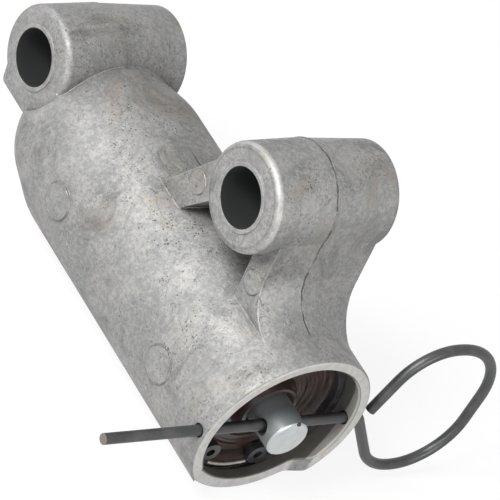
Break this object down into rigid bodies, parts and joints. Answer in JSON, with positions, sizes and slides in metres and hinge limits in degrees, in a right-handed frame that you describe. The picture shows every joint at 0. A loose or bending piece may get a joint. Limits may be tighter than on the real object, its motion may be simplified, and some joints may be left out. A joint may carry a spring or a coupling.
{
  "type": "belt tensioner",
  "caption": "Hydraulic belt tensioner: die-cast barrel with two bolt bosses, spring-loaded push rod behind an oil seal, and a wire pin that locks the rod",
  "frame": {"origin": "Centre of the end bolt bore on the plane of the mounting faces, on the engine side of the part", "axes": "+X along the barrel towards its open end and the push rod's tip, +Y out of the mounting faces towards the engine along both bolt bores, +Z from the barrel towards the offset boss"},
  "size_m": [0.0931, 0.0841, 0.0595],
  "materials": {
    "cast_aluminium": "die-cast, stained and pitted, machined rim and bores",
    "ground_steel": "hardened and ground, oiled",
    "pressed_steel": "pressed, phosphated and oiled",
    "ball_steel": "polished bearing ball",
    "spring_steel": "drawn spring wire, oiled",
    "bearing_plastic": "moulded bearing plastic",
    "rod_steel": "turned and oil-blackened flank, bright faced end",
    "seal_rubber": "moulded oil seal rubber, dark reddish brown",
    "black_spring_steel": "stamped spring steel, black oxide",
    "blackened_wire": "blackened drawn wire with bare cut ends"
  },
  "bodies": {
    "casting": {"housing": "cast_aluminium", "cylinder_sleeve": "ground_steel", "rod_guide": "pressed_steel", "oil_seal": "seal_rubber", "seal_insert": "pressed_steel", "garter_spring": "spring_steel", "retaining_ring": "black_spring_steel"},
    "rod": {"push_rod": "rod_steel", "spring_seat": "pressed_steel", "wear_ring": "bearing_plastic", "return_spring": "spring_steel", "plunger": "ground_steel", "valve_seat": "ground_steel", "ball_cage": "pressed_steel", "check_ball_spring": "spring_steel", "plunger_spring": "spring_steel"},
    "ball": {"check_ball": "ball_steel"},
    "pin": {"lock_pin": "blackened_wire"}
  },
  "joints": [
    {"name": "plunger_slide", "type": "slide", "parent": "casting", "child": "rod", "axis": [1, 0, 0], "range_m": [-0.0009, 0], "stiffness_N_per_m": 9000, "springref_m": 0.004, "deforming": ["return_spring", "plunger_spring"]},
    {"name": "ball_lift", "type": "slide", "parent": "rod", "child": "ball", "axis": [-1, 0, 0], "range_m": [0, 0.0006], "deforming": ["check_ball_spring"]},
    {"name": "lock_pin_pull", "type": "slide", "parent": "casting", "child": "pin", "axis": [0, 1, 0], "range_m": [0, 0.056]}
  ]
}
